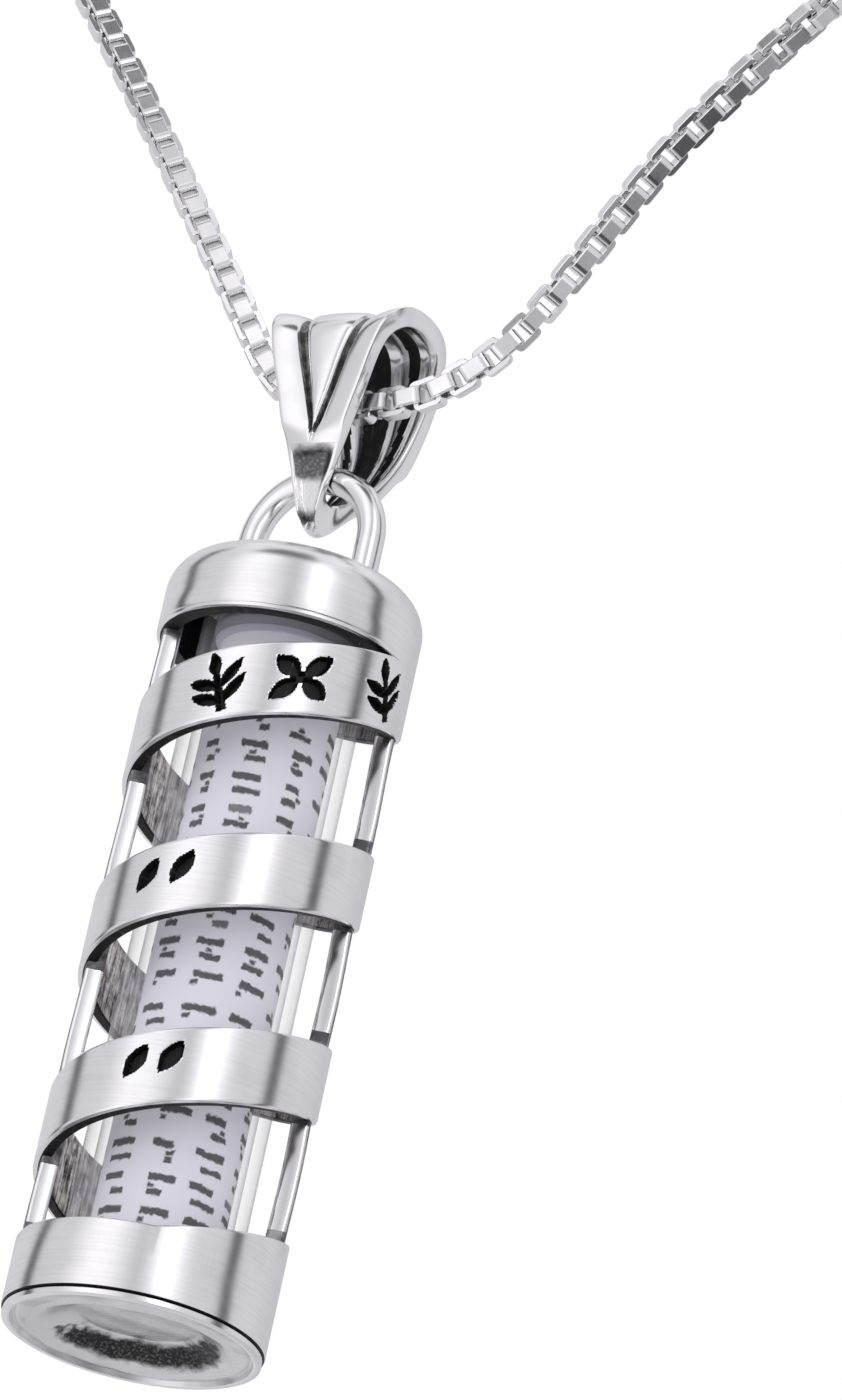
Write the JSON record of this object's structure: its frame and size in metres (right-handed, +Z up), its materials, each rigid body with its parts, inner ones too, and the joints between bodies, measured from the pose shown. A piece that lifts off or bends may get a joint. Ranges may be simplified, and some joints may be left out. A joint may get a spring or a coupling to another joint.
{
  "type": "mezuzah case pendant",
  "caption": "Round silver mezuzah case with a spiral-cut sleeve over a glass vial and scroll, hung by a folded bail on a box chain.",
  "frame": {"origin": "middle of the chain at its lowest point, inside the bail's eye", "axes": "+Z up along the hanging case, X along the chain and across the hanging loop, -Y to the front leaf of the bail"},
  "size_m": [0.0527, 0.01, 0.0708],
  "materials": {
    "sleeve_silver": "polished silver with fine brush lines and black oxide in its recesses",
    "wire_silver": "polished silver wire",
    "bar_silver": "drawn silver, darkened where it meets the bands",
    "cast_silver": "matte cast silver with a bright lip and a darkened well",
    "bail_silver": "polished silver with black oxide in the grooves and inside",
    "chain_silver": "bright silver links",
    "clasp_silver": "polished cast silver",
    "spring_steel": "bright steel wire",
    "clear_glass": "clear glass",
    "stopper_plastic": "translucent white plastic",
    "scroll_paper": "white paper with rows of dark printed marks"
  },
  "bodies": {
    "chain": {"chain": "chain_silver", "left_end_cap": "wire_silver", "right_end_cap": "wire_silver", "left_jump_ring": "wire_silver", "right_jump_ring": "wire_silver", "tag_ring": "wire_silver", "clasp_body": "clasp_silver", "clasp_pin": "spring_steel", "clasp_spring": "spring_steel"},
    "lever": {"clasp_lever": "clasp_silver"},
    "bail": {"bail": "bail_silver"},
    "case": {"spiral_sleeve": "sleeve_silver", "top_cap": "sleeve_silver", "hanging_loop": "wire_silver", "stay_bar_left": "bar_silver", "stay_bar_right": "bar_silver", "bottom_dish": "cast_silver", "glass_vial": "clear_glass", "vial_stopper": "stopper_plastic", "scroll": "scroll_paper"}
  },
  "joints": [
    {"name": "bail_swing", "type": "hinge", "parent": "chain", "child": "bail", "pos_m": [0, 0, 0], "axis": [1, 0, 0], "range_deg": [-80, 80]},
    {"name": "case_sway", "type": "hinge", "parent": "bail", "child": "case", "pos_m": [0, 0, -0.0058], "axis": [0, 1, 0], "range_deg": [-50, 50]},
    {"name": "clasp_press", "type": "hinge", "parent": "chain", "child": "lever", "pos_m": [-0.02084, 0, 0.0273], "axis": [0, -1, 0], "range_deg": [0, 25], "stiffness_Nm_per_rad": 0.0001, "springref_deg": -11.46}
  ]
}
